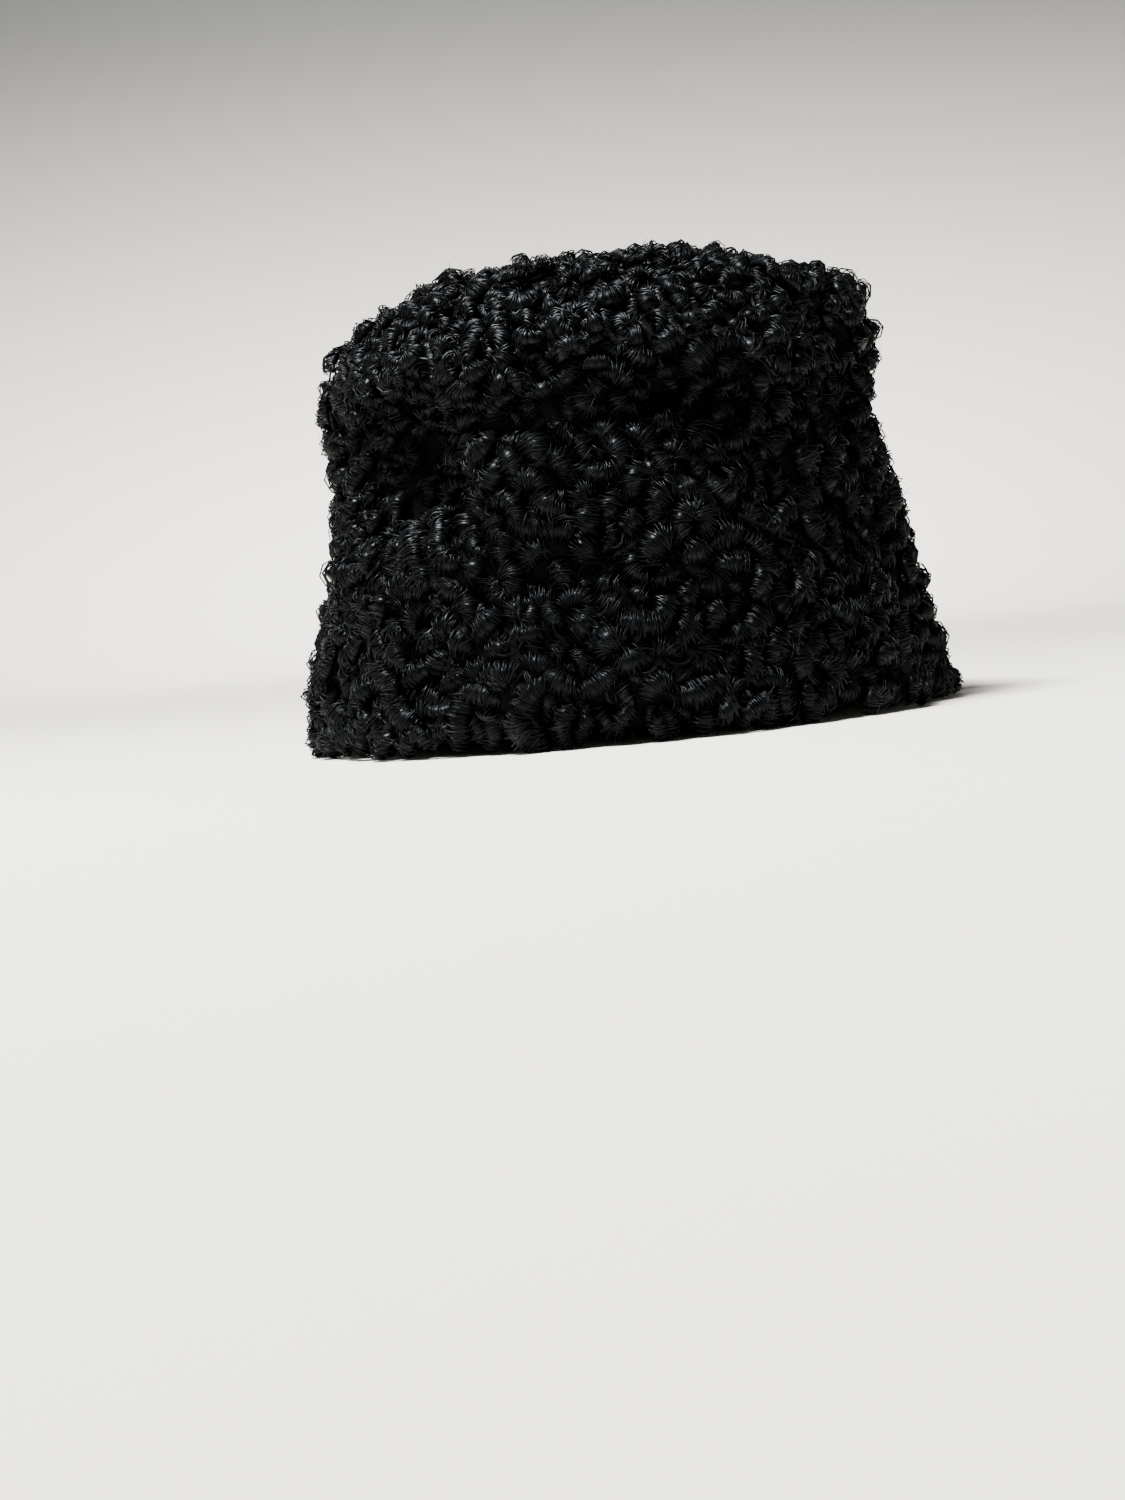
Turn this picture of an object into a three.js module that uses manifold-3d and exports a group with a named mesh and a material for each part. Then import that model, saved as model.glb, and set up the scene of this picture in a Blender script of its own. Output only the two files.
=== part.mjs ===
// A hat of black curled lamb fur: a flared side band and a domed crown sewn onto it, both of pelt with the
// hair left on. Millimetres, +Z up, the front towards -Y, standing on its rim with the middle at the origin.

import * as THREE from "three";
import { mergeVertices } from "three/addons/utils/BufferGeometryUtils.js";
import Module from "manifold-3d";

const wasm = await Module();
wasm.setup();

// Driving sizes
const wall = 9; // skin and curls together, from the inside to the tips
const seamHeight = 86; // the crown meets the side band here
const seamGap = 0.3;
const seamGroove = { depth: 1, width: 5 };
const lock = { pitch: 13.5, reach: 7.6, rise: 4.6, stretch: 1.25, stray: 0.3 }; // a curl and its spacing
const seeds = { up: 12.9898, round: 39.346, lie: 78.233 }; // for the curls' uneven places
const chanceSpread = 43758.5453; // large, so that neighbouring numbers give unlike chances
const fineness = 20; // steps along each edge of the even mesh that becomes the outer form
const hollow = { columns: 48, rows: 14, reachesDown: 25 };
const levelSteps = 240; // steps up the form for sharing out its surface
const hiddenShare = 0.06; // the weight of what lies under the rim
const cutter = 400; // larger than the hat
const mergeWithin = 1e-5;
const lineTension = 0.5; // of the smooth line through the sections
const topReach = 24; // dents fade out nearer than this to the middle of the top
const heart = new THREE.Vector3(0, 0, 60); // a point inside, about half way up

// Sections of the outer form up from under the rim: how far the side and the front reach from the middle
const sections = [
  { height: -9, side: 0, front: 0 },
  { height: -6, side: 82, front: 94 },
  { height: 0, side: 87.5, front: 100 },
  { height: 9, side: 90, front: 102.5 },
  { height: 25, side: 87, front: 99.5 },
  { height: 48, side: 81.5, front: 93 },
  { height: 68, side: 77, front: 88 },
  { height: 82, side: 75.6, front: 86 },
  { height: 92, side: 76.4, front: 86 },
  { height: 101, side: 76, front: 81.5 },
  { height: 111, side: 72.5, front: 71 },
  { height: 119.5, side: 63, front: 57 },
  { height: 126, side: 46, front: 40 },
  { height: 130, side: 24, front: 20 },
  { height: 131, side: 0, front: 0 },
];

// Dents and swells of the soft pelt. The bearing is from the front towards +X, in degrees. The spread is a
// turn in degrees and a height, and each place goes inward and down by the sizes given, or outward and up.
const dents = [
  { name: "hollow left of the front", bearing: -27, height: 80, turn: 13, tall: 13, inward: 10.5, down: 0 },
  { name: "its lower end", bearing: -11, height: 65, turn: 9, tall: 10, inward: 5.5, down: 0 },
  { name: "fold beside it", bearing: -33, height: 60, turn: 10, tall: 11, inward: -2.8, down: 0 },
  { name: "edge of the crown over it", bearing: -28, height: 99, turn: 20, tall: 8, inward: -2.5, down: 0 },
  { name: "crease under the crown", bearing: -2, height: 83, turn: 15, tall: 5, inward: 3, down: 0 },
  { name: "fold under the crease", bearing: 3, height: 74, turn: 14, tall: 6, inward: -1.5, down: 0 },
  { name: "fold along the valley", bearing: 12, height: 57, turn: 13, tall: 6, inward: -1.5, down: 0 },
  { name: "valley below it", bearing: 12, height: 46, turn: 13, tall: 6, inward: 2.5, down: 0 },
  { name: "hollow right of the front", bearing: 38, height: 87, turn: 15, tall: 9, inward: 4, down: 0 },
  { name: "left of the top", bearing: -72, height: 126, turn: 45, tall: 7, inward: 0, down: -3.4 },
  { name: "left edge of the crown", bearing: -75, height: 90, turn: 30, tall: 19, inward: -3.4, down: 0 },
  { name: "right side under the crown", bearing: 106, height: 90, turn: 34, tall: 22, inward: 1, down: 0 },
  { name: "right shoulder", bearing: 104, height: 115, turn: 34, tall: 8, inward: -2.5, down: -2.5 },
];

// The sections as one smooth line: x is the side's reach, y the front's reach and z the height.
const line = new THREE.CatmullRomCurve3(
  sections.map(({ height, side, front }) => new THREE.Vector3(side, front, height)),
  false,
  "catmullrom",
  lineTension,
);
const levelStep = 1 / (sections.length - 1);
const underRim = levelStep;
const rimLevel = 2 * levelStep;

// A point of the smooth outer form. The bearing is in radians from the front, and the level goes from 0
// below to 1 on top.
function formAt(bearing, level) {
  const { x: side, y: front, z: height } = line.getPoint(level);
  const point = new THREE.Vector3(side * Math.sin(bearing), -front * Math.cos(bearing), height);
  const outward = new THREE.Vector3(Math.sin(bearing), -Math.cos(bearing), 0);
  for (const dent of dents) {
    const turned = Math.atan2(
      Math.sin(bearing - THREE.MathUtils.degToRad(dent.bearing)),
      Math.cos(bearing - THREE.MathUtils.degToRad(dent.bearing)),
    );
    const round = THREE.MathUtils.radToDeg(turned) / dent.turn;
    const away = Math.hypot(round, (height - dent.height) / dent.tall);
    const share = Math.exp(-away * away) * Math.min(1, side / topReach);
    point.addScaledVector(outward, -dent.inward * share);
    point.z -= dent.down * share;
  }
  return point;
}

// The level at which a given share of the outer surface lies above, so that points spread evenly over it.
// The flat part under the rim is cut away, so it is given little of the surface.
function levelTable(steps, shareBelow) {
  const rows = [{ level: 1, area: 0 }];
  for (let i = 1; i <= steps; i++) {
    const level = 1 - i / steps;
    const above = line.getPoint(level + 1 / steps);
    const here = line.getPoint(level);
    const girth = Math.PI * (Math.hypot(above.x, above.y) + Math.hypot(here.x, here.y)) / Math.SQRT2;
    const slant = Math.hypot(above.x - here.x, above.z - here.z);
    const weight = level < underRim ? shareBelow : 1;
    rows.push({ level, area: rows[i - 1].area + girth * slant * weight });
  }
  return rows;
}
const levels = levelTable(levelSteps, hiddenShare);
const outerArea = levels[levels.length - 1].area;

function levelOf(share) {
  const area = share * outerArea;
  const next = Math.max(1, levels.findIndex((row) => row.area >= area));
  const [upper, lower] = [levels[next - 1], levels[next]];
  return THREE.MathUtils.mapLinear(area, upper.area, lower.area, upper.level, lower.level);
}

// The point of the form for a direction from the middle of a ball.
function formFor(direction) {
  const share = THREE.MathUtils.clamp((1 - direction.z) / 2, 0, 1);
  return formAt(Math.atan2(direction.x, -direction.y), levelOf(share));
}

// A number from -1 to 1 for each curl that looks random, and is the same at every run.
function chance(i, seed) {
  const wide = Math.sin(i * seed) * chanceSpread;
  return 2 * (wide - Math.floor(wide)) - 1;
}

// Curls spread over the form in a spiral, each lying its own way.
function makeLocks() {
  const count = Math.round(outerArea / lock.pitch ** 2);
  const goldenTurn = Math.PI * (3 - Math.sqrt(5));
  const rows = Math.sqrt(count);
  return Array.from({ length: count }, (_, i) => {
    const step = i + 0.5 + rows * lock.stray * chance(i, seeds.up);
    const z = THREE.MathUtils.clamp(1 - (2 * step) / count, -1, 1);
    const across = Math.sqrt(1 - z * z);
    const turn = i * goldenTurn + ((2 * Math.PI) / rows) * lock.stray * chance(i, seeds.round);
    const middle = formFor(new THREE.Vector3(across * Math.sin(turn), -across * Math.cos(turn), z));
    return { middle, lie: lieAt(middle, i) };
  });
}

// The way a curl lies on the form.
function lieAt(middle, i) {
  const outward = middle.clone().sub(heart).normalize();
  const level = new THREE.Vector3(-outward.y, outward.x, 0).normalize();
  return level.applyAxisAngle(outward, Math.PI * chance(i, seeds.lie));
}
const locks = makeLocks();

// How far the surface lies under the tips of the curls at a point: nothing on a curl, most between curls.
function fallAt(point) {
  let nearest = Infinity;
  for (const { middle, lie } of locks) {
    const away = point.clone().sub(middle);
    const along = away.dot(lie);
    const across2 = away.lengthSq() - along * along;
    nearest = Math.min(nearest, (along / lock.stretch) ** 2 + across2 * lock.stretch);
  }
  const onCurl = 1 - Math.min(1, nearest / lock.reach ** 2);
  const groove = seamGroove.depth * Math.exp(-(((point.z - seamHeight) / seamGroove.width) ** 2));
  return lock.rise * (1 - onCurl) + groove;
}

// A geometry with only its positions left, and the points that meet merged.
function bare(geometry) {
  geometry.deleteAttribute("normal");
  geometry.deleteAttribute("uv");
  return mergeVertices(geometry, mergeWithin);
}

function movePoints(geometry, place) {
  const places = geometry.getAttribute("position");
  const point = new THREE.Vector3();
  for (let i = 0; i < places.count; i++) {
    point.fromBufferAttribute(places, i);
    places.setXYZ(i, ...place(point.clone(), i).toArray());
  }
  geometry.computeVertexNormals();
  return geometry;
}

function solidOf(geometry) {
  return new wasm.Manifold(
    new wasm.Mesh({
      numProp: 3,
      vertProperties: new Float32Array(geometry.getAttribute("position").array),
      triVerts: new Uint32Array(geometry.getIndex().array),
    }),
  );
}

// The outer form with its curls, from an even ball of triangles.
function outerSolid() {
  const skin = bare(new THREE.IcosahedronGeometry(1, fineness));
  movePoints(skin, (direction) => formFor(direction));
  const normals = skin.getAttribute("normal").clone();
  const normal = new THREE.Vector3();
  movePoints(skin, (point, i) => {
    normal.fromBufferAttribute(normals, i);
    return point.addScaledVector(normal, -fallAt(point));
  });
  return solidOf(skin);
}

// The room for the head: the smooth form, smaller by the wall, open below.
function hollowSolid() {
  const room = bare(new THREE.SphereGeometry(1, hollow.columns, hollow.rows));
  const lastWallRow = hollow.rows - 2;
  movePoints(room, (direction) => {
    const row = Math.round((Math.acos(THREE.MathUtils.clamp(direction.y, -1, 1)) / Math.PI) * hollow.rows);
    const bearing = Math.atan2(direction.x, direction.z);
    const level = 1 - (1 - rimLevel) * Math.min(1, row / lastWallRow);
    const point = formAt(bearing, level);
    if (row > lastWallRow) {
      point.z = -hollow.reachesDown;
    }
    if (row === hollow.rows) {
      point.set(0, 0, -hollow.reachesDown);
    }
    return point;
  });
  const normals = room.getAttribute("normal").clone();
  const normal = new THREE.Vector3();
  movePoints(room, (point, i) => {
    normal.fromBufferAttribute(normals, i);
    return point.addScaledVector(normal, -wall);
  });
  return solidOf(room);
}

// Everything above, or below, a height.
function halfSpace(height, above) {
  const box = bare(new THREE.BoxGeometry(cutter, cutter, cutter));
  box.translate(0, 0, height + (above ? cutter / 2 : -cutter / 2));
  return solidOf(box);
}

const pelt = new THREE.MeshStandardMaterial({ color: 0x141518, roughness: 0.5, metalness: 0 });

function meshOf(name, solid) {
  const { vertProperties, triVerts } = solid.getMesh();
  const geometry = new THREE.BufferGeometry();
  geometry.setAttribute("position", new THREE.BufferAttribute(vertProperties, 3));
  geometry.setIndex(new THREE.BufferAttribute(triVerts, 1));
  geometry.computeVertexNormals();
  const mesh = new THREE.Mesh(geometry, pelt);
  mesh.name = name;
  return mesh;
}

const body = outerSolid().subtract(hollowSolid()).subtract(halfSpace(0, false));
const sideBand = meshOf("side_band", body.subtract(halfSpace(seamHeight - seamGap / 2, true)));
const crown = meshOf("crown", body.subtract(halfSpace(seamHeight + seamGap / 2, false)));

// The curls are uneven, so the hat is shifted to stand with the middle of its box over the origin.
const hat = new THREE.Group();
hat.add(sideBand, crown);
const middle = new THREE.Box3().setFromObject(hat).getCenter(new THREE.Vector3());
hat.position.set(-middle.x, -middle.y, 0);

export default hat;
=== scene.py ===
import math

import bpy
import numpy as np
from mathutils import Matrix, Vector
from mathutils.kdtree import KDTree


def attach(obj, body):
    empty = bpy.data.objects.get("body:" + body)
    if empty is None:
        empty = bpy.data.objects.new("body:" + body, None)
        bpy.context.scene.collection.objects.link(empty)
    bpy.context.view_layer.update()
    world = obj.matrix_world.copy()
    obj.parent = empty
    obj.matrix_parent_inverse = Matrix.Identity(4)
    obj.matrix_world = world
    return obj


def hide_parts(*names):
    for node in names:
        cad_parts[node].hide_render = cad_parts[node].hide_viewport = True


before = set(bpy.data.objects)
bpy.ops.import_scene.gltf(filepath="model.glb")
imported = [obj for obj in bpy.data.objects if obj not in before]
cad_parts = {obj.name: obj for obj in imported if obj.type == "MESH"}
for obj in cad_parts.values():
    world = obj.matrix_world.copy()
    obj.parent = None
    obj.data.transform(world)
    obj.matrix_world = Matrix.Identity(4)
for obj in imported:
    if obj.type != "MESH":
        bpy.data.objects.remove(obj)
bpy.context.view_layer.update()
mm = 0.001
restGap = 0.25  # the hat is flattened where it rests, this far above the floor
nearTop = 0.999  # the level up to which the form has a direction
aboveAll = 200  # a height over the top of the hat
smallStep = 0.002  # of bearing and level, to find slopes
print("frame loaded, solids", sorted(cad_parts))


# the outer form of the hat, as high as the tips of the curls, in millimetres and degrees
hatForm = {
    "sections": [  # height, reach of the side, reach of the front and back
        (-9, 0, 0),
        (-6, 82, 94),
        (0, 87.5, 100),
        (9, 90, 102.5),
        (25, 87, 99.5),
        (48, 81.5, 93),
        (68, 77, 88),
        (82, 75.6, 86),
        (92, 76.4, 86),
        (101, 76, 81.5),
        (111, 72.5, 71),
        (119.5, 63, 57),
        (126, 46, 40),
        (130, 24, 20),
        (131, 0, 0),
    ],
    "dents": [  # bearing from the front to +X, height, turn, tall, inward, down
        (-27, 79, 14, 13, 14, 0),  # hollow left of the front
        (-25, 66, 11, 8, 6, 0),  # its floor
        (-11, 65, 9, 10, 7, 0),  # its lower end
        (-37, 57, 10, 9, -3, 0),  # fold beside it
        (-28, 99, 20, 8, -3.3, 0),  # edge of the crown over it
        (-2, 83, 15, 5, 3, 0),  # crease under the crown
        (3, 74, 14, 6, -1.5, 0),  # fold under the crease
        (12, 57, 13, 6, -1.5, 0),  # fold along the valley
        (12, 46, 13, 6, 2.5, 0),  # valley below it
        (39, 86, 16, 10, 5, 0),  # hollow right of the front
        (-72, 126, 45, 7, 0, -3.4),  # left of the top
        (-75, 90, 30, 19, -3.4, 0),  # left edge of the crown
        (106, 90, 34, 22, 1, 0),  # right side under the crown
        (104, 115, 34, 8, -2.5, -2.5),  # right shoulder
    ],
    "topReach": 24,  # dents fade out nearer than this to the middle of the top
    "seam": 86,
    "seamGroove": (0.8, 5),  # depth, width
    "waveSeed": 5,
    "waves": (0.9, 16, 36),  # unevenness of the soft pelt: height, then shortest and longest wave
}
rimLevel = 2 / (len(hatForm["sections"]) - 1)  # the level at the foot of the hat, height 0


def sectionAt(level):
    rows = np.array(hatForm["sections"], float)
    rows = np.vstack([2 * rows[0] - rows[1], rows, 2 * rows[-1] - rows[-2]])
    place = np.clip(level, 0, 1) * (len(rows) - 3)
    first = np.minimum(place.astype(int), len(rows) - 4)
    t = (place - first)[..., None]
    a, b, c, d = (rows[first + k] for k in range(4))
    line = 2 * b + (c - a) * t + (2 * a - 5 * b + 4 * c - d) * t**2 + (3 * b - a - 3 * c + d) * t**3
    return line / 2


# points of the form, by bearing in radians from the front and level from 0 below to 1 on top
def formAt(bearing, level):
    height, side, front = np.moveaxis(sectionAt(level), -1, 0)
    x, y, z = side * np.sin(bearing), -front * np.cos(bearing), height.copy()
    for at, high, turn, tall, inward, down in hatForm["dents"]:
        turned = (np.degrees(bearing) - at + 180) % 360 - 180
        share = np.exp(-((turned / turn) ** 2) - ((height - high) / tall) ** 2)
        share = share * np.minimum(1, side / hatForm["topReach"])
        x -= inward * share * np.sin(bearing)
        y += inward * share * np.cos(bearing)
        z -= down * share
    return np.stack([x, y, z], -1)


def unit(v):
    return v / np.maximum(np.linalg.norm(v, axis=-1, keepdims=True), 1e-12)


def normalAt(bearing, level):
    around = formAt(bearing + smallStep, level) - formAt(bearing - smallStep, level)
    up = formAt(bearing, level + smallStep) - formAt(bearing, level - smallStep)
    return unit(np.cross(around, up))


# slow waves over the pelt in several directions, with wave lengths in a given range
def driftAt(place, seed, low, high, count=6):
    rng = np.random.default_rng(seed)
    total = np.zeros(len(place))
    for _ in range(count):
        way = unit(rng.normal(size=3))
        total += np.sin(place @ way * 2 * math.pi / rng.uniform(low, high) + rng.uniform(0, 2 * math.pi))
    return total


# places on the form with its waves and the groove of the seam, and the directions of the surface there
def surfaceAt(bearing, level):
    normal = normalAt(bearing, level)
    middle = formAt(bearing, level)
    depth, width = hatForm["seamGroove"]
    fall = depth * np.exp(-(((middle[:, 2] - hatForm["seam"]) / width) ** 2))
    height, *lengths = hatForm["waves"]
    fall += height * driftAt(middle, hatForm["waveSeed"], *lengths)
    middle -= normal * fall[:, None]
    around = unit(np.stack([-middle[:, 1], middle[:, 0], 0 * middle[:, 0]], -1))
    around = unit(around - normal * np.sum(around * normal, -1, keepdims=True))
    return middle, normal, around, np.cross(normal, around)


# levels that share the outer surface out evenly, from the top down to the rim
def evenLevels(steps=400):
    level = np.linspace(1, rimLevel, steps)
    height, side, front = sectionAt(level).T
    girth = np.sqrt((side**2 + front**2) / 2) * 2 * np.pi
    slant = np.hypot(np.diff(side), np.diff(height))
    area = np.concatenate([[0], np.cumsum((girth[1:] + girth[:-1]) / 2 * slant)])
    return level, area


# a socket that takes part in Python expressions, each of which adds a Math node
class Wire:
    def __init__(self, tree, socket=None):
        self.tree, self.socket = tree, socket

    # any node: its type, its settings, then the values or wires of its sockets
    def node(self, kind, settings=None, sockets=None, output=0):
        made = self.tree.nodes.new(kind)
        for name, value in (settings or {}).items():
            setattr(made, name, value)
        for name, value in (sockets or {}).items():
            if isinstance(value, Wire):
                self.tree.links.new(value.socket, made.inputs[name])
            else:
                made.inputs[name].default_value = value
        return Wire(self.tree, made.outputs[output])

    def maths(self, operation, a, b):
        return self.node("ShaderNodeMath", {"operation": operation}, {0: a, 1: b})

    def __add__(self, other):
        return self.maths("ADD", self, other)

    def __radd__(self, other):
        return self.maths("ADD", other, self)

    def __sub__(self, other):
        return self.maths("SUBTRACT", self, other)

    def __rsub__(self, other):
        return self.maths("SUBTRACT", other, self)

    def __mul__(self, other):
        return self.maths("MULTIPLY", self, other)

    def __rmul__(self, other):
        return self.maths("MULTIPLY", other, self)

    def feed(self, shader, socket):
        self.tree.links.new(self.socket, shader.inputs[socket])


def newMaterial(name):
    material = bpy.data.materials.new(name)
    material.use_nodes = True
    tree = material.node_tree
    return material, Wire(tree), tree.nodes["Principled BSDF"]


# glossy black hair, a little bluer or browner from one strand to the next
hairLook = {
    "shades": [(0.0008, 0.0009, 0.0011), (0.0014, 0.0016, 0.0020), (0.0012, 0.0011, 0.0010)],
    "roughness": [0.40, 0.32, 0.48],
    "gloss": 0.12,
    "tint": (0.84, 0.93, 1.0),
    "shares": [0.6, 0.22, 0.18],
    "roughSpread": 0.16,
    "patchScale": 40,
    "grainScale": 900,
    "bump": 0.12,
    "bumpDepth": 0.0004,
}


def makeHair(index):
    material, wire, shader = newMaterial("hair" + str(index))
    place = wire.node("ShaderNodeTexCoord", output="Object")
    grainSockets = {"Vector": place, "Scale": hairLook["grainScale"], "Detail": 0}
    grain = wire.node("ShaderNodeTexNoise", sockets=grainSockets)
    patchSockets = {"Vector": place, "Scale": hairLook["patchScale"], "Detail": 0}
    patch = wire.node("ShaderNodeTexNoise", sockets=patchSockets)
    rough = hairLook["roughness"][index] + (patch - 0.5) * hairLook["roughSpread"]
    rough.feed(shader, "Roughness")
    bumpSockets = {"Strength": hairLook["bump"], "Distance": hairLook["bumpDepth"], "Height": grain}
    wire.node("ShaderNodeBump", sockets=bumpSockets).feed(shader, "Normal")
    shader.inputs["Base Color"].default_value = (*hairLook["shades"][index], 1)
    shader.inputs["Specular IOR Level"].default_value = hairLook["gloss"]
    shader.inputs["Specular Tint"].default_value = (*hairLook["tint"], 1)
    return material


# the skin of the pelt: black under the hair, partly for its dye and partly as painted shade for the deep
# gaps between the curls; dark suede inside
skinLook = {
    # painted shade: the outer skin, seen only between the curls, is near black partly for its dye and
    # partly to stand for the deep shade there
    "under": {"colour": (0.0015, 0.0015, 0.0016), "napScale": 500},
    "inside": {"colour": (0.020, 0.0175, 0.0155), "napScale": 900},
    "napDetail": 6,
    "napRoughness": 0.65,
    "wornScale": 30,
    "wornDetail": 3,
    "wornTone": (0.75, 0.5),  # the darkest share of the colour, and what is added to it
    "roughness": 0.9,
    "roughSpread": 0.2,
    "bump": 0.6,
    "bumpDepth": 0.001,
    "gloss": 0.05,
}


def makeSkin(name, look):
    material, wire, shader = newMaterial(name)
    place = wire.node("ShaderNodeTexCoord", output="Object")
    napSockets = {"Vector": place, "Scale": look["napScale"]}
    napSockets.update({"Detail": skinLook["napDetail"], "Roughness": skinLook["napRoughness"]})
    nap = wire.node("ShaderNodeTexNoise", sockets=napSockets)
    wornSockets = {"Vector": place, "Scale": skinLook["wornScale"], "Detail": skinLook["wornDetail"]}
    worn = wire.node("ShaderNodeTexNoise", sockets=wornSockets)
    darkest, added = skinLook["wornTone"]
    toneSockets = {0: look["colour"], "Scale": darkest + worn * added}
    wire.node("ShaderNodeVectorMath", {"operation": "SCALE"}, toneSockets).feed(shader, "Base Color")
    (skinLook["roughness"] + (nap - 0.5) * skinLook["roughSpread"]).feed(shader, "Roughness")
    bumpSockets = {"Strength": skinLook["bump"], "Distance": skinLook["bumpDepth"], "Height": nap}
    wire.node("ShaderNodeBump", sockets=bumpSockets).feed(shader, "Normal")
    shader.inputs["Specular IOR Level"].default_value = skinLook["gloss"]
    return material


hairs = [makeHair(i) for i in range(len(hairLook["shades"]))]
skinDyedAndShaded = makeSkin("skinUnderHairDyedAndPaintedShade", skinLook["under"])
skinInside = makeSkin("skinInside", skinLook["inside"])
print("materials made")


def activate(piece):
    bpy.ops.object.select_all(action="DESELECT")
    piece.select_set(True)
    bpy.context.view_layer.objects.active = piece


# a piece of skin under the curls: rings drawn up from a circle, then set on the form, then thickened
peltShell = {
    "columns": 96,
    "bandRows": 22,
    "crownRows": 20,
    "under": 5.0,  # its outer side lies this far under the tips of the curls
    "thick": 4.0,
    "cover": 1.8,  # at least this much of it stays between the curls and the inside
    "gap": 0.3,  # at the seam
    "lowest": 1.5,
    "highest": 130.6,  # the last ring before the middle of the top
}


def levelsBetween(low, high, count):
    level = np.linspace(rimLevel, 1, 4000)
    height = sectionAt(level)[:, 0]
    return np.interp(np.linspace(low, high, count), height, level)


def makePelt(name, levels, closedTop):
    bpy.ops.object.select_all(action="DESELECT")
    bpy.ops.mesh.primitive_circle_add(vertices=peltShell["columns"], radius=1, fill_type="NOTHING")
    pelt = bpy.context.active_object
    pelt.name = name
    bpy.ops.object.mode_set(mode="EDIT")
    bpy.ops.mesh.select_all(action="SELECT")
    for _ in levels[1:]:
        bpy.ops.mesh.extrude_region_move(TRANSFORM_OT_translate={"value": (0, 0, 1)})
    if closedTop:
        bpy.ops.mesh.merge(type="COLLAPSE")
    bpy.ops.object.mode_set(mode="OBJECT")
    mesh = pelt.data
    co = np.empty(len(mesh.vertices) * 3)
    mesh.vertices.foreach_get("co", co)
    co = co.reshape(-1, 3)
    row = np.clip(np.round(co[:, 2]).astype(int), 0, len(levels) - 1)
    bearing = np.arctan2(co[:, 0], -co[:, 1])
    level = np.asarray(levels)[row]
    middle, normal = surfaceAt(bearing, np.minimum(level, nearTop))[:2]
    place = middle - normal * peltShell["under"]
    if closedTop:  # the one point inside the rings is the middle of the top
        place[np.hypot(co[:, 0], co[:, 1]) < 0.5, :2] = 0
    place[:, 2] = np.maximum(place[:, 2], restGap)
    mesh.vertices.foreach_set("co", (place * mm).ravel())
    mesh.update()
    activate(pelt)
    bpy.ops.object.mode_set(mode="EDIT")
    bpy.ops.mesh.select_all(action="SELECT")
    bpy.ops.mesh.normals_make_consistent(inside=False)
    bpy.ops.object.mode_set(mode="OBJECT")
    wall = pelt.modifiers.new("wall", "SOLIDIFY")
    wall.thickness = peltShell["thick"] * mm
    wall.offset = -1
    wall.material_offset = 1
    wall.material_offset_rim = 0
    pelt.data.materials.append(skinDyedAndShaded)
    pelt.data.materials.append(skinInside)
    bpy.ops.object.modifier_apply(modifier="wall")
    bpy.ops.object.shade_smooth()
    return pelt


seam, halfGap = hatForm["seam"], peltShell["gap"] / 2
bandLevels = levelsBetween(peltShell["lowest"], seam - halfGap, peltShell["bandRows"])
crownLevels = levelsBetween(seam + halfGap, peltShell["highest"], peltShell["crownRows"])
bandPelt = makePelt("bandPelt", bandLevels, False)
crownPelt = makePelt("crownPelt", list(crownLevels) + [1.0], True)
print("pelts made", len(bandPelt.data.polygons), len(crownPelt.data.polygons))


# curls: short rolls of hair that lie on the pelt, with the strands running across the roll
bandCurls = {
    "seed": 11,
    "strandSeed": 50,
    "lowest": 10,
    "pitch": 8.0,
    "length": (7, 14),
    "thick": (2.7, 4.5),
    "bend": (0.04, 0.30),  # per millimetre, either way
    "dip": 1.6,
    "depth": (-1.0, 2.0),
    "strandPitch": 0.60,
    "stray": 0.42,
}
crownCurls = {
    "seed": 23,
    "strandSeed": 60,
    "pitch": 7.4,
    "length": (5, 12),
    "thick": (2.1, 4.1),
    "bend": (0.05, 0.4),
    "dip": 1.4,
    "depth": (-1.8, 1.6),
    "strandPitch": 0.60,
    "stray": 0.42,
}
# curls deeper in the pelt, laid only where the others leave it bare
underCurls = {
    "seed": 29,
    "lowest": 6,
    "search": 3.0,
    "rollReach": 0.45,  # how far along the other rolls to look, in shares of their length
    "rollPlaces": 5,
    "seat": 4.5,
    "bare": 3.3,  # a place this far from the middle of every roll is bare
    "apart": 5.0,
    "length": (8, 12),
    "thick": (2.5, 3.3),
    "bend": (0.02, 0.2),
    "dip": 1.0,
    "depth": (2.2, 3.2),
    "strandPitch": 0.95,
    "stray": 0.3,
}
rimCurls = {
    "seed": 37,
    "pitch": 6.0,
    "reach": 95,
    "shift": 0.4,
    "lieSpread": 0.6,
    "height": (3.2, 6.8),
    "length": (6, 13),
    "thick": (2.6, 4.3),
    "bend": (0.0, 0.2),
    "dip": 0.8,
    "depth": (-1.6, 0.6),
    "strandPitch": 0.60,
}
# how the lie of the curls changes from place to place, and from one to the next
lieDrift = {"lengths": (70, 150), "spread": 0.6}
# how places are set out over the form
setting = {"shift": 0.6, "topShare": 0.0005, "leastReach": 6, "rounds": 10}
evening = {"near": 1.2, "push": 0.25, "leastReach": 3, "lowest": 0.15}
roll = {
    "taper": 0.78,
    "straightest": 0.004,
    "lump": 0.10,
    "lumpLength": (2.2, 4.5),
}
strand = {
    "half": 0.24,
    "halfSpread": (0.7, 1.2),
    "taper": 0.55,
    "sides": 3,
    "segments": 4,
    "fewest": 6,  # on one roll
    "stagger": (0.1, 0.9),
    "reach": (98, 106),  # degrees from the top of the roll, on the root side and the tip side
    "rootSpread": (-10, 16),
    "tipSpread": (-34, 10),
    "lean": 0.5,
    "leanSpread": 0.45,
    "unevenness": 0.08,
    "tipUnevenness": 0.06,
}
core = {"rings": 5, "sides": 5, "share": 0.85, "belly": 0.3}
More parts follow.
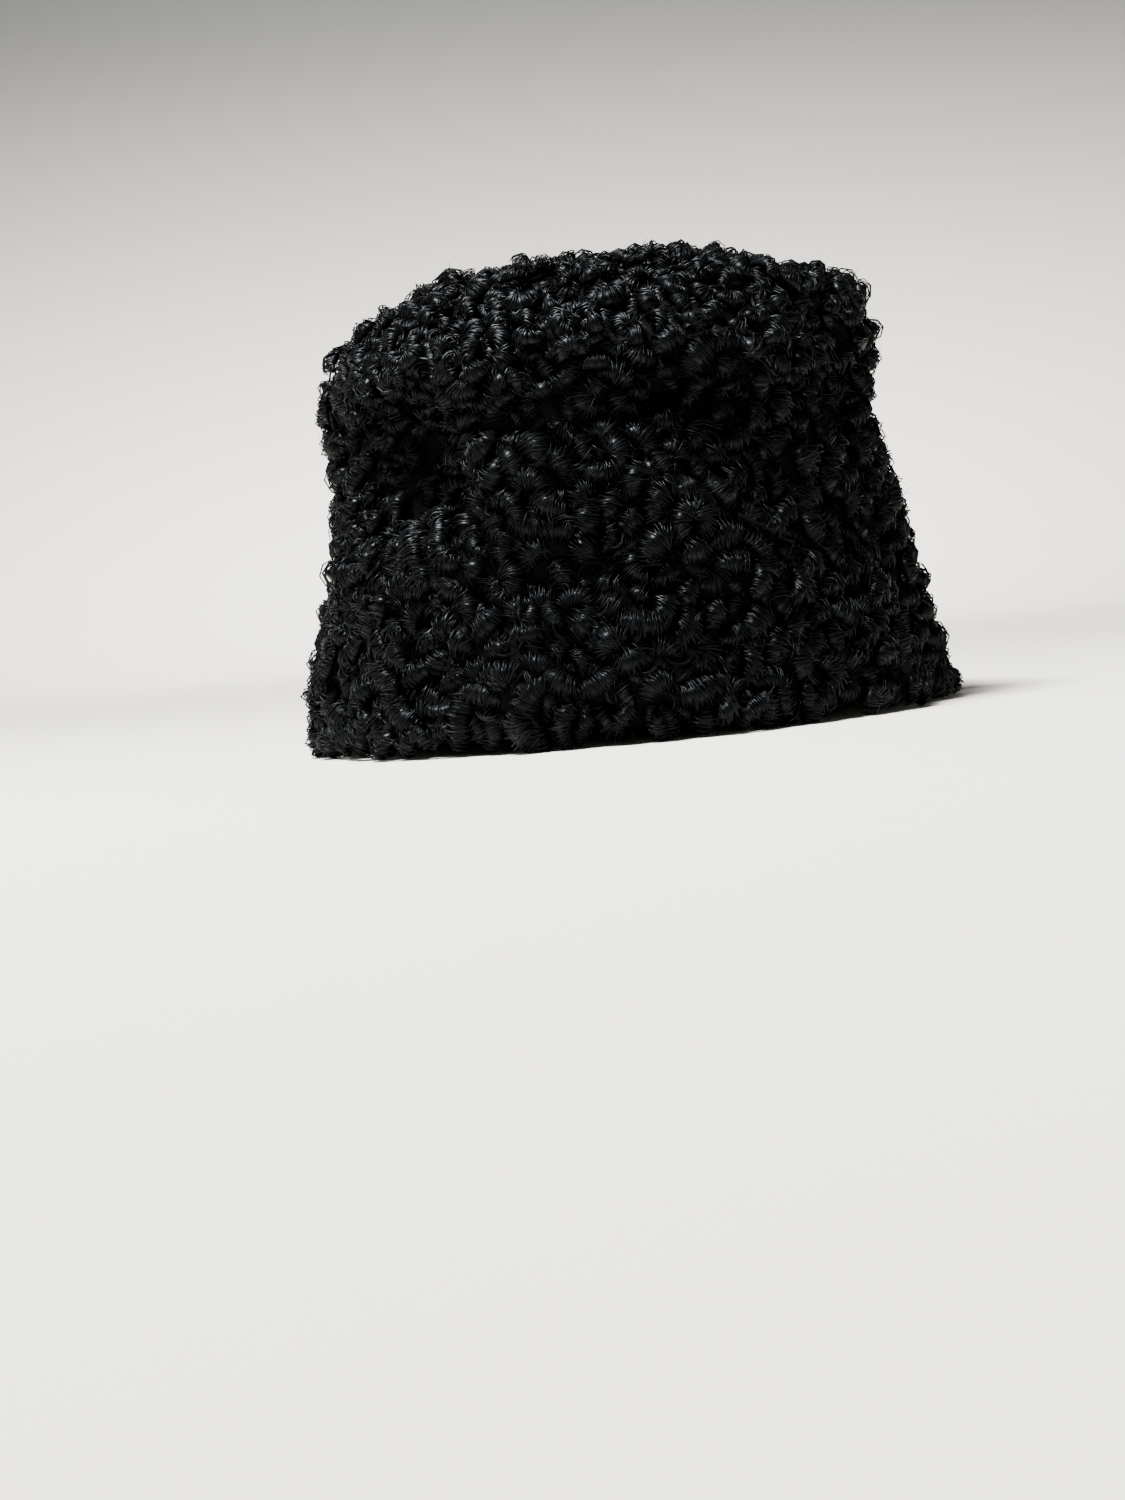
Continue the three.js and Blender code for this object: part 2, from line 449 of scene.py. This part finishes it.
# loose wisps that loop over the rolls
wisp = {
    "seed": 71,
    "count": 850,
    "stray": 0.5,
    "lowest": 9,
    "underSeam": 4,  # wisps whose middle is this far under the seam belong to the band
    "strands": 4,
    "ring": (2.2, 4.4),
    "ringSpread": (0.09, 0.12),  # from strand to strand, and towards the tip
    "span": (110, 240),
    "spanShare": (0.75, 1),
    "slip": 0.08,
    "tilt": (10, 48),
    "sink": (0.8, 2.0),
    "fray": 0.5,
    "spreadOut": 0.75,
    "half": 0.20,
    "halfSpread": (0.6, 1.1),
    "taper": 0.6,
    "segments": 6,
}
# single fine hairs that stand off the curls
strayHair = {
    "perCurl": 0.4,
    "length": (3, 7),
    "rise": (1.0, 2.6),
    "bow": 0.8,  # share of half a turn
    "rootSpread": 1.5,
    "rootDepth": 1.2,
    "sway": 1,
    "half": 0.10,
    "taper": 0.8,
    "segments": 5,
}


def spread(rng, size, low, high):
    return rng.uniform(low, high, size)


def eitherWay(rng, size, low, high):
    return rng.uniform(low, high, size) * rng.choice([-1, 1], size)


def layCurls(spec, bearing, level, lie, rng):
    n = len(bearing)
    middle, normal, around, up = surfaceAt(bearing, level)
    return {
        "middle": middle - normal * spread(rng, n, *spec["depth"])[:, None],
        "normal": normal,
        "around": around,
        "up": up,
        "lie": lie,
        "length": spread(rng, n, *spec["length"]),
        "thick": spread(rng, n, *spec["thick"]),
        "bend": eitherWay(rng, n, *spec["bend"]),
        "dip": np.full(n, spec["dip"]),
        "strandPitch": np.full(n, spec["strandPitch"]),
        "lean": rng.normal(0, strand["lean"], n),
        "lumpLength": spread(rng, n, *roll["lumpLength"]),
        "lumpStart": spread(rng, n, 0, 6.28),
    }


# pushes places that lie too near each other apart, along the surface
def evened(bearing, level, pitch, rounds):
    e = smallStep
    for _ in range(rounds):
        place = formAt(bearing, level)
        gap = place[:, None] - place[None]
        far = np.linalg.norm(gap, axis=-1) + 1e9 * np.eye(len(place))  # no place pushes itself
        push = np.clip(evening["near"] * pitch - far, 0, None) / far
        move = np.sum(gap * push[..., None], 1) * evening["push"]
        around = (formAt(bearing + e, level) - formAt(bearing - e, level)) / (2 * e)
        up = (formAt(bearing, level + e) - formAt(bearing, level - e)) / (2 * e)
        reach = np.maximum(np.sum(around**2, -1), evening["leastReach"] ** 2)
        bearing = bearing + np.sum(move * around, -1) / reach
        level = level + np.sum(move * up, -1) / np.sum(up**2, -1)
        level = np.clip(level, evening["lowest"], nearTop)
    return bearing, level


# places over the form between two heights, set out in a spiral and scattered
def scatter(rng, count, stray, low, high, rounds=setting["rounds"]):
    levels, area = evenLevels()
    pitch = math.sqrt(area[-1] / count)
    shift = stray * math.sqrt(count) * rng.uniform(-1, 1, count) * setting["shift"]
    step = np.arange(count) + 0.5 + shift
    level = np.interp(np.clip(step / count, setting["topShare"], 1) * area[-1], area, levels)
    goldenTurn = math.pi * (3 - math.sqrt(5))
    girthShare = pitch / np.maximum(sectionAt(level)[:, 1], setting["leastReach"])
    bearing = np.arange(count) * goldenTurn + stray * rng.uniform(-1, 1, count) * girthShare
    bearing, level = evened(bearing, level, pitch, rounds)
    height = formAt(bearing, level)[:, 2]
    kept = (height > low) & (height <= high)
    return bearing[kept], level[kept]


def scatterCurls(spec, low, high):
    rng = np.random.default_rng(spec["seed"])
    count = int(evenLevels()[1][-1] / spec["pitch"] ** 2)
    bearing, level = scatter(rng, count, spec["stray"], low, high)
    lie = driftAt(formAt(bearing, level), spec["seed"], *lieDrift["lengths"])
    lie = lie + rng.normal(0, lieDrift["spread"], len(bearing))
    return layCurls(spec, bearing, level, lie, rng)


# a row of upright curls that roll over the edge of the rim
def rowOfRimCurls(spec):
    rng = np.random.default_rng(spec["seed"])
    count = int(2 * math.pi * spec["reach"] / spec["pitch"])
    height = spread(rng, count, *spec["height"])
    level = np.array([levelsBetween(h, h, 1)[0] for h in height])
    bearing = (np.arange(count) + rng.uniform(-spec["shift"], spec["shift"], count)) * 2 * math.pi / count
    lie = math.pi / 2 + rng.normal(0, spec["lieSpread"], count)
    return layCurls(spec, bearing, level, lie, rng)


def joined(*layouts):
    return {key: np.concatenate([layout[key] for layout in layouts]) for key in layouts[0]}


def chosen(layout, mask):
    return {key: value[mask] for key, value in layout.items()}


# the line down the middle of each roll, at distances s along it
def rollLine(curls, which, s):
    straight = np.abs(curls["bend"]) < roll["straightest"]
    bend = np.where(straight, roll["straightest"], curls["bend"])[which]
    turn = bend * s
    x, y = np.sin(turn) / bend, (1 - np.cos(turn)) / bend
    lie = curls["lie"][which]
    p = np.cos(lie) * x - np.sin(lie) * y
    q = np.sin(lie) * x + np.cos(lie) * y
    around, up, normal = (curls[k][which] for k in ("around", "up", "normal"))
    end = 2 * s / curls["length"][which]
    lump = np.sin(2 * math.pi * s / curls["lumpLength"][which] + curls["lumpStart"][which])
    taper = np.sqrt(1 - roll["taper"] * np.minimum(end**2, 1))
    thick = curls["thick"][which] * taper * (1 + roll["lump"] * lump)
    sink = curls["thick"][which] + curls["dip"][which] * end**2
    middle = curls["middle"][which] + around * p[:, None] + up * q[:, None] - normal * sink[:, None]
    heading = (lie + turn)[:, None]
    along = around * np.cos(heading) + up * np.sin(heading)
    return middle, along, np.cross(normal, along), normal, thick


def treeOf(places):
    tree = KDTree(len(places))
    for i, place in enumerate(places):
        tree.insert(place, i)
    tree.balance()
    return tree


# the places farthest from every roll come first, until no bare place is left
def fillCurls(spec, low, high, others):
    rng = np.random.default_rng(spec["seed"])
    count = int(evenLevels()[1][-1] / spec["search"] ** 2)
    bearing, level = scatter(rng, count, spec["stray"], low, high, 0)
    place = formAt(bearing, level) - normalAt(bearing, level) * spec["seat"]
    along = np.linspace(-spec["rollReach"], spec["rollReach"], spec["rollPlaces"])
    which = np.repeat(np.arange(len(others["length"])), len(along))
    rolls = rollLine(others, which, np.tile(along, len(others["length"])) * others["length"][which])[0]
    rollTree = treeOf(rolls)
    far = np.array([rollTree.find(point)[2] for point in place])
    kept = []
    for i in np.argsort(-far):
        if far[i] < spec["bare"]:
            break
        if not kept or np.min(np.linalg.norm(place[kept] - place[i], axis=-1)) > spec["apart"]:
            kept.append(i)
    lie = rng.uniform(0, math.pi, len(kept))
    return layCurls(spec, bearing[kept], level[kept], lie, rng)


def tubeFaces(count, rings, sides):
    k, j = np.meshgrid(np.arange(rings - 1), np.arange(sides), indexing="ij")
    nxt = (j + 1) % sides
    corners = [k * sides + j, k * sides + nxt, (k + 1) * sides + nxt, (k + 1) * sides + j]
    quads = np.stack(corners, -1).reshape(-1, 4)
    caps = [np.arange(sides)[::-1], (rings - 1) * sides + np.arange(sides)]
    start = (np.arange(count) * rings * sides)[:, None, None]
    return (quads[None] + start).reshape(-1, 4), (np.array(caps)[None] + start).reshape(-1, sides)


# strands as slim closed tubes, given the line of each, two directions across it and half its width
def strandTubes(line, out, beside, half):
    n, rings = line.shape[:2]
    turn = np.arange(strand["sides"]) * 2 * np.pi / strand["sides"]
    ring = out[:, :, None] * np.cos(turn)[:, None] + beside[:, :, None] * np.sin(turn)[:, None]
    points = line[:, :, None] + ring * half[:, :, None, None]
    quads, caps = tubeFaces(n, rings, strand["sides"])
    return points.reshape(-1, 3), quads, caps


def rollStrands(curls, rng):
    perCurl = np.maximum((curls["length"] / curls["strandPitch"]).astype(int), strand["fewest"])
    which = np.repeat(np.arange(len(perCurl)), perCurl)
    first = np.repeat(np.cumsum(perCurl) - perCurl, perCurl)
    n = len(which)
    share = (np.arange(n) - first + spread(rng, n, *strand["stagger"])) / perCurl[which] - 0.5
    middle, along, across, normal, thick = rollLine(curls, which, share * curls["length"][which])
    t = np.linspace(0, 1, strand["segments"] + 1)[None, :]
    root, tip = strand["reach"]
    rootAngle = np.radians(-root + spread(rng, n, *strand["rootSpread"]))[:, None]
    tipAngle = np.radians(tip + spread(rng, n, *strand["tipSpread"]))[:, None]
    angle = rootAngle + (tipAngle - rootAngle) * t
    swell = 1 + rng.normal(0, strand["unevenness"], n)[:, None]
    swell = swell + rng.normal(0, strand["tipUnevenness"], n)[:, None] * t
    lean = (curls["lean"][which] + rng.normal(0, strand["leanSpread"], n))[:, None] * angle
    out = normal[:, None] * np.cos(angle)[..., None] + across[:, None] * np.sin(angle)[..., None]
    line = middle[:, None] + out * (thick[:, None] * swell)[..., None] + along[:, None] * lean[..., None]
    half = strand["half"] * spread(rng, n, *strand["halfSpread"])[:, None]
    half = half * (1 - strand["taper"] * (2 * t - 1) ** 4)
    return strandTubes(line, out, np.broadcast_to(along[:, None], out.shape), half)


def coreTubes(curls):
    n, rings, sides = len(curls["length"]), core["rings"], core["sides"]
    which = np.repeat(np.arange(n), rings)
    t = np.tile(np.linspace(-0.5, 0.5, rings), n)
    middle, along, across, normal, thick = rollLine(curls, which, t * curls["length"][which])
    turn = np.arange(sides) * 2 * np.pi / sides
    tall = np.maximum(np.cos(turn), -core["belly"])
    ring = normal[:, None] * tall[:, None] + across[:, None] * np.sin(turn)[:, None]
    points = middle[:, None] + ring * (thick * core["share"])[:, None, None]
    quads, caps = tubeFaces(n, rings, sides)
    return points.reshape(-1, 3), quads[:, ::-1], caps[:, ::-1]


def strayHairs(curls, rng):
    n = int(len(curls["length"]) * strayHair["perCurl"])
    which = rng.integers(0, len(curls["length"]), n)
    around, up, normal = (curls[k][which] for k in ("around", "up", "normal"))
    heading = rng.uniform(0, 2 * math.pi, n)[:, None]
    lean = around * np.cos(heading) + up * np.sin(heading)
    side = np.cross(normal, lean)
    t = np.linspace(0, 1, strayHair["segments"] + 1)[None, :]
    length = spread(rng, n, *strayHair["length"])[:, None]
    rise = spread(rng, n, *strayHair["rise"])[:, None] * np.sin(t * math.pi * strayHair["bow"])
    root = curls["middle"][which] + side * rng.normal(0, strayHair["rootSpread"], n)[:, None]
    root = root - normal * strayHair["rootDepth"]
    line = root[:, None] + lean[:, None] * (length * t)[..., None] + normal[:, None] * rise[..., None]
    line = line + side[:, None] * (rng.normal(0, strayHair["sway"], n)[:, None] * t**2)[..., None]
    half = strayHair["half"] * (1 - strayHair["taper"] * t) * np.ones((n, 1))
    out = np.broadcast_to(normal[:, None], line.shape)
    return strandTubes(line, out, np.broadcast_to(-side[:, None], line.shape), half)


def layWisps(spec):
    rng = np.random.default_rng(spec["seed"])
    bearing, level = scatter(rng, spec["count"], spec["stray"], spec["lowest"], aboveAll)
    n = len(bearing)
    middle, normal, around, up = surfaceAt(bearing, level)
    lie = rng.uniform(0, 2 * math.pi, n)[:, None]
    first = around * np.cos(lie) + up * np.sin(lie)
    tilt = np.radians(spread(rng, n, *spec["tilt"]))[:, None]
    second = np.cross(normal, first) * np.cos(tilt) + normal * np.sin(tilt)
    ring = spread(rng, n, *spec["ring"])
    sink = ring * np.sin(tilt[:, 0]) + spread(rng, n, *spec["sink"])
    span = np.radians(spread(rng, n, *spec["span"]))
    return {
        "middle": middle - normal * sink[:, None],
        "first": first,
        "second": second,
        "third": np.cross(first, second),
        "ring": ring,
        "span": span,
    }


def wispStrands(wisps, rng):
    which = np.repeat(np.arange(len(wisps["ring"])), wisp["strands"])
    n = len(which)
    t = np.linspace(0, 1, wisp["segments"] + 1)[None, :]
    span = (wisps["span"][which] * spread(rng, n, *wisp["spanShare"]))[:, None]
    angle = math.pi / 2 + (t - 0.5 + rng.uniform(-wisp["slip"], wisp["slip"], n)[:, None]) * span
    uneven, towardsTip = wisp["ringSpread"]
    ring = (wisps["ring"][which] * (1 + rng.normal(0, uneven, n)))[:, None]
    ring = ring * (1 + towardsTip * rng.normal(0, 1, n)[:, None] * t)
    first, second, third = (wisps[k][which][:, None] for k in ("first", "second", "third"))
    out = first * np.cos(angle)[..., None] + second * np.sin(angle)[..., None]
    shift = rng.normal(0, wisp["fray"], n)[:, None] + rng.normal(0, wisp["fray"], n)[:, None] * t
    shift = shift * wisp["spreadOut"]
    line = wisps["middle"][which][:, None] + out * ring[..., None] + third * shift[..., None]
    half = wisp["half"] * spread(rng, n, *wisp["halfSpread"])[:, None]
    half = half * (1 - wisp["taper"] * (2 * t - 1) ** 4)
    return strandTubes(line, -out, np.broadcast_to(third, out.shape), half)


# places all over the outer form, to tell how deep a point lies under it
def treeOfForm(columns=240, rows=200):
    bearing = np.repeat(np.arange(columns) * 2 * math.pi / columns, rows)
    level = np.tile(np.linspace(rimLevel / 2, nearTop, rows), columns)
    return treeOf(surfaceAt(bearing, level)[0])


formTree = treeOfForm()


# points that would come through the inside of the pelt are brought back into it
def keptInPelt(points):
    deepest = peltShell["under"] + peltShell["thick"] - peltShell["cover"]
    kept = points.copy()
    for i, point in enumerate(points.tolist()):
        nearest, _, deep = formTree.find(point)
        if deep > deepest:
            kept[i] += (np.array(nearest) - kept[i]) * (1 - deepest / deep)
    return kept


# one mesh from arrays of points, quads and end caps
def meshFromArrays(name, points, faceSets, materialIndex):
    mesh = bpy.data.meshes.new(name)
    points = keptInPelt(points) * mm
    points[:, 2] = np.maximum(points[:, 2], restGap * mm)
    mesh.vertices.add(len(points))
    mesh.vertices.foreach_set("co", points.ravel())
    corners = np.concatenate([f.ravel() for f in faceSets])
    totals = np.concatenate([np.full(len(f), f.shape[1]) for f in faceSets])
    mesh.loops.add(len(corners))
    mesh.loops.foreach_set("vertex_index", corners)
    mesh.polygons.add(len(totals))
    mesh.polygons.foreach_set("loop_start", np.cumsum(totals) - totals)
    mesh.polygons.foreach_set("loop_total", totals)
    for material in hairs:
        mesh.materials.append(material)
    mesh.polygons.foreach_set("material_index", materialIndex)
    mesh.polygons.foreach_set("use_smooth", np.ones(len(totals), bool))
    mesh.update(calc_edges=True)
    mesh.validate()
    piece = bpy.data.objects.new(name, mesh)
    bpy.context.collection.objects.link(piece)
    return piece


# tubes of several makes in one mesh, each strand in one of the hair colours
def makeCurls(name, curls, wisps, seed):
    rng = np.random.default_rng(seed)
    points, faceSets, index, made = [], [], [], 0
    for tubes, segments in (
        (rollStrands(curls, rng), strand["segments"]),
        (wispStrands(wisps, rng), wisp["segments"]),
        (strayHairs(curls, rng), strayHair["segments"]),
        (coreTubes(curls), 0),
    ):
        place, quads, caps = tubes
        shade = rng.choice(len(hairs), len(caps) // 2, p=hairLook["shares"]) * (segments > 0)
        faceSets += [quads + made, caps + made]
        index += [np.repeat(shade, len(quads) // len(shade)), np.repeat(shade, 2)]
        points.append(place)
        made += len(place)
    index = np.concatenate(index).astype(np.int32)
    piece = meshFromArrays(name, np.concatenate(points), faceSets, index)
    triangles = sum(len(f) * (f.shape[1] - 2) for f in faceSets)
    print(name, len(curls["length"]), "curls,", len(wisps["ring"]), "wisps,", triangles, "triangles")
    return piece


bandTop = joined(scatterCurls(bandCurls, bandCurls["lowest"], seam), rowOfRimCurls(rimCurls))
crownTop = scatterCurls(crownCurls, seam, aboveAll)
laid = joined(bandTop, crownTop)
allBand = joined(bandTop, fillCurls(underCurls, underCurls["lowest"], seam, laid))
allCrown = joined(crownTop, fillCurls(underCurls, seam, aboveAll, laid))
allWisps = layWisps(wisp)
lowWisps = allWisps["middle"][:, 2] < seam - wisp["underSeam"]


def onSide(layout, bearing, reach):
    at = np.degrees(np.arctan2(layout["middle"][:, 0], -layout["middle"][:, 1]))
    return np.abs((at - bearing + 180) % 360 - 180) <= reach


# the band's curls are four pieces and the crown's are two, so that none gets too large
pieces = {"side_band": [bandPelt], "crown": [crownPelt]}
sides = {"Front": 0, "Right": 90, "Back": 180, "Left": -90}
bandReach, crownReach = 45, 90  # degrees to either side
for number, (side, bearing) in enumerate(sides.items()):
    curls = chosen(allBand, onSide(allBand, bearing, bandReach))
    wisps = chosen(allWisps, onSide(allWisps, bearing, bandReach) & lowWisps)
    seed = bandCurls["strandSeed"] + number
    pieces["side_band"].append(makeCurls("bandCurls" + side, curls, wisps, seed))
    if side in ("Front", "Back"):
        curls = chosen(allCrown, onSide(allCrown, bearing, crownReach))
        wisps = chosen(allWisps, onSide(allWisps, bearing, crownReach) & ~lowWisps)
        seed = crownCurls["strandSeed"] + number
        pieces["crown"].append(makeCurls("crownCurls" + side, curls, wisps, seed))

for node, made in pieces.items():
    for piece in made:
        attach(piece, "root")
        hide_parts(node)
print("curls made")


# a pale floor that rises into a wall far round, so that no edge shows; the wall is painted darker with
# height as painted shade, for light that falls off upwards
floorLook = {
    "radius": 1.5,
    "rise": 0.7,
    "cove": 0.5,
    "colour": (0.86, 0.829, 0.767),
    # painted shade: the dark colour the wall turns to stands for the light falling off up the wall
    "wallPaintedShade": (0.09, 0.09, 0.088),
    "paintedShadeFullAt": 0.8,  # the height where the floor's colour has turned fully into the painted shade of the wall
    "columns": 96,
    "steps": 10,
    "border": 0.02,
    "smoothUnder": 40,
    "roughness": 0.9,
    "gloss": 0,
}


def makeFloor():
    bpy.ops.object.select_all(action="DESELECT")
    columns, radius = floorLook["columns"], floorLook["radius"]
    bpy.ops.mesh.primitive_circle_add(vertices=columns, radius=radius, fill_type="NGON")
    floor = bpy.context.active_object
    floor.name = "floor"
    bpy.ops.object.mode_set(mode="EDIT")
    bpy.ops.mesh.select_all(action="SELECT")
    bpy.ops.mesh.inset(thickness=floorLook["border"], use_boundary=True)
    bpy.ops.mesh.select_all(action="DESELECT")
    bpy.ops.mesh.select_mode(type="EDGE")
    bpy.ops.object.mode_set(mode="OBJECT")
    mesh = floor.data
    for edge in mesh.edges:  # the outer edge alone
        ends = [mesh.vertices[i].co for i in edge.vertices]
        edge.select = all(math.hypot(c.x, c.y) > radius - floorLook["border"] / 4 for c in ends)
    bpy.ops.object.mode_set(mode="EDIT")
    steps = floorLook["steps"]
    for k in range(steps):  # a quarter round, then straight up
        a0, a1 = (math.pi / 2 * i / steps for i in (k, k + 1))
        out = floorLook["cove"] * (math.sin(a1) - math.sin(a0))
        rise = floorLook["cove"] * (math.cos(a0) - math.cos(a1))
        reach = radius + floorLook["cove"] * math.sin(a0)
        bpy.ops.mesh.extrude_region_move(TRANSFORM_OT_translate={"value": (0, 0, rise)})
        grow = (reach + out) / reach
        bpy.ops.transform.resize(value=(grow, grow, 1))
    bpy.ops.mesh.extrude_region_move(TRANSFORM_OT_translate={"value": (0, 0, floorLook["rise"])})
    bpy.ops.mesh.select_all(action="SELECT")
    bpy.ops.mesh.normals_make_consistent(inside=True)
    bpy.ops.object.mode_set(mode="OBJECT")
    bpy.ops.object.shade_smooth_by_angle(angle=math.radians(floorLook["smoothUnder"]))
    # painted shade: the colour turns from the pale floor to the dark wall with height, standing for the
    # light falling off up the wall
    material, wire, shader = newMaterial("floorWithPaintedWallShade")
    place = wire.node("ShaderNodeTexCoord", output="Object")
    height = wire.node("ShaderNodeSeparateXYZ", sockets={"Vector": place}, output="Z")
    paintedShadeSockets = {"Value": height, "From Max": floorLook["paintedShadeFullAt"]}
    rise = wire.node("ShaderNodeMapRange", {"interpolation_type": "SMOOTHSTEP"}, paintedShadeSockets)
    # sockets 6 and 7 of a Mix node are its two colours, and 2 is the colour that comes out
    colours = {0: rise, 6: (*floorLook["colour"], 1), 7: (*floorLook["wallPaintedShade"], 1)}
    wire.node("ShaderNodeMix", {"data_type": "RGBA"}, colours, 2).feed(shader, "Base Color")
    shader.inputs["Roughness"].default_value = floorLook["roughness"]
    shader.inputs["Specular IOR Level"].default_value = floorLook["gloss"]
    floor.data.materials.append(material)


makeFloor()


# soft light from above the front, a weaker one from the left, and one for the far floor and wall
lamps = {
    "overhead": {"at": (-0.19, -0.36, 1.12), "aim": (0, -0.05, 0.05), "size": 0.28, "power": 66},
    "left": {"at": (-1.0, -0.6, 0.4), "aim": (0, 0, 0.05), "size": 0.5, "power": 2},
    "far": {"at": (-0.45, 0.95, 1.5), "aim": (-0.75, 1.75, 0), "size": 0.8, "power": 30, "spread": 100},
}
sky = {"colour": (1, 0.99, 0.97), "strength": 0.10}


def makeLamps():
    for name, lamp in lamps.items():
        data = bpy.data.lights.new(name, "AREA")
        data.size = lamp["size"]
        data.energy = lamp["power"]
        data.spread = math.radians(lamp.get("spread", 180))
        made = bpy.data.objects.new(name, data)
        made.location = lamp["at"]
        way = Vector(lamp["aim"]) - Vector(lamp["at"])
        made.rotation_euler = way.to_track_quat("-Z", "Y").to_euler()
        bpy.context.collection.objects.link(made)
    world = bpy.data.worlds.new("studio")
    bpy.context.scene.world = world
    world.use_nodes = True
    background = world.node_tree.nodes["Background"]
    background.inputs["Color"].default_value = (*sky["colour"], 1)
    background.inputs["Strength"].default_value = sky["strength"]


makeLamps()


# the photograph's view: low, a little to the right of the front, and tilted
viewPoint = {
    "bearing": 20,
    "distance": 650,
    "height": 35,
    "aim": (-19.9, -8.5, -5.9),
    "tilt": 5.27,
    "lens": 54.4,
    "sensor": 36,
    "clipStart": 0.01,
}


def makeCamera():
    data = bpy.data.cameras.new("camera")
    data.sensor_width = viewPoint["sensor"]
    data.lens = viewPoint["lens"]
    data.clip_start = viewPoint["clipStart"]
    bearing = math.radians(viewPoint["bearing"])
    far = viewPoint["distance"]
    at = Vector((far * math.sin(bearing), -far * math.cos(bearing), viewPoint["height"])) * mm
    forward = (Vector(viewPoint["aim"]) * mm - at).normalized()
    right = forward.cross(Vector((0, 0, 1))).normalized()
    up = right.cross(forward)
    tilt = math.radians(viewPoint["tilt"])
    tiltedRight = right * math.cos(tilt) - up * math.sin(tilt)
    tiltedUp = right * math.sin(tilt) + up * math.cos(tilt)
    turn = Matrix((tiltedRight, tiltedUp, -forward)).transposed()
    camera = bpy.data.objects.new("camera", data)
    camera.matrix_world = Matrix.Translation(at) @ turn.to_4x4()
    bpy.context.collection.objects.link(camera)
    bpy.context.scene.camera = camera


makeCamera()
print("floor, lights and camera made")
